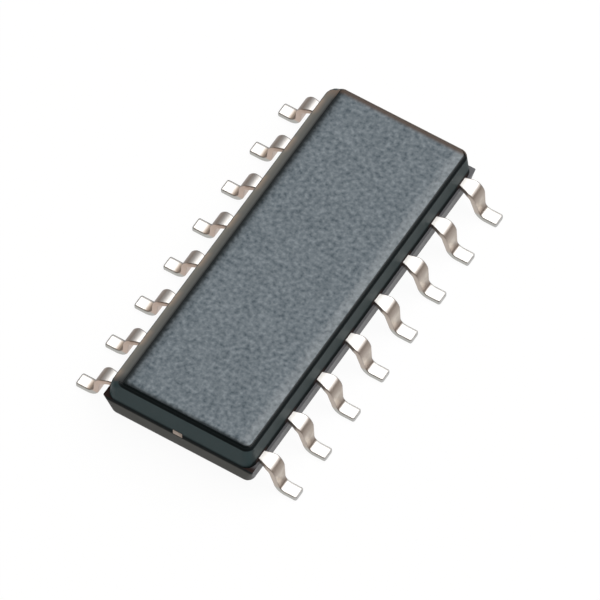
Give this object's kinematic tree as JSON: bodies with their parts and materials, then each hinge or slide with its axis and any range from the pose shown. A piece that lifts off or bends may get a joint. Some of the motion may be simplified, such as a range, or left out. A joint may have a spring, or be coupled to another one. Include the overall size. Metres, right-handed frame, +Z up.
{
  "type": "decade counter chip",
  "caption": "Flat black moulded chip with gull-wing leads along both long sides and a chamfered index edge, a counting circuit to solder onto a circuit board.",
  "frame": {"origin": "centre of the footprint, on the plane that the solder feet stand on", "axes": "+X across the package towards leads 9 to 16, +Y along the package towards leads 1 and 16, +Z up from the board"},
  "size_m": [0.006, 0.0098, 0.0016],
  "materials": {
    "mould_compound": "fine matte grain on top, smooth drafted walls",
    "tin_plate": "bright tin plate",
    "frame_metal": "bare copper alloy strip",
    "adhesive": "cured silver-filled epoxy",
    "silicon": "polished silicon",
    "gold_wire": "drawn gold wire"
  },
  "bodies": {
    "root": {"moulded_body": "mould_compound", "lead_1": "tin_plate", "lead_2": "tin_plate", "lead_3": "tin_plate", "lead_4": "tin_plate", "lead_5": "tin_plate", "lead_6": "tin_plate", "lead_7": "tin_plate", "lead_8": "tin_plate", "lead_9": "tin_plate", "lead_10": "tin_plate", "lead_11": "tin_plate", "lead_12": "tin_plate", "lead_13": "tin_plate", "lead_14": "tin_plate", "lead_15": "tin_plate", "lead_16": "tin_plate", "die_paddle": "frame_metal", "die_adhesive": "adhesive", "die": "silicon", "bond_wire_1": "gold_wire", "bond_wire_2": "gold_wire", "bond_wire_3": "gold_wire", "bond_wire_4": "gold_wire", "bond_wire_5": "gold_wire", "bond_wire_6": "gold_wire", "bond_wire_7": "gold_wire", "bond_wire_8": "gold_wire", "bond_wire_9": "gold_wire", "bond_wire_10": "gold_wire", "bond_wire_11": "gold_wire", "bond_wire_12": "gold_wire", "bond_wire_13": "gold_wire", "bond_wire_14": "gold_wire", "bond_wire_15": "gold_wire", "bond_wire_16": "gold_wire"}
  },
  "joints": []
}
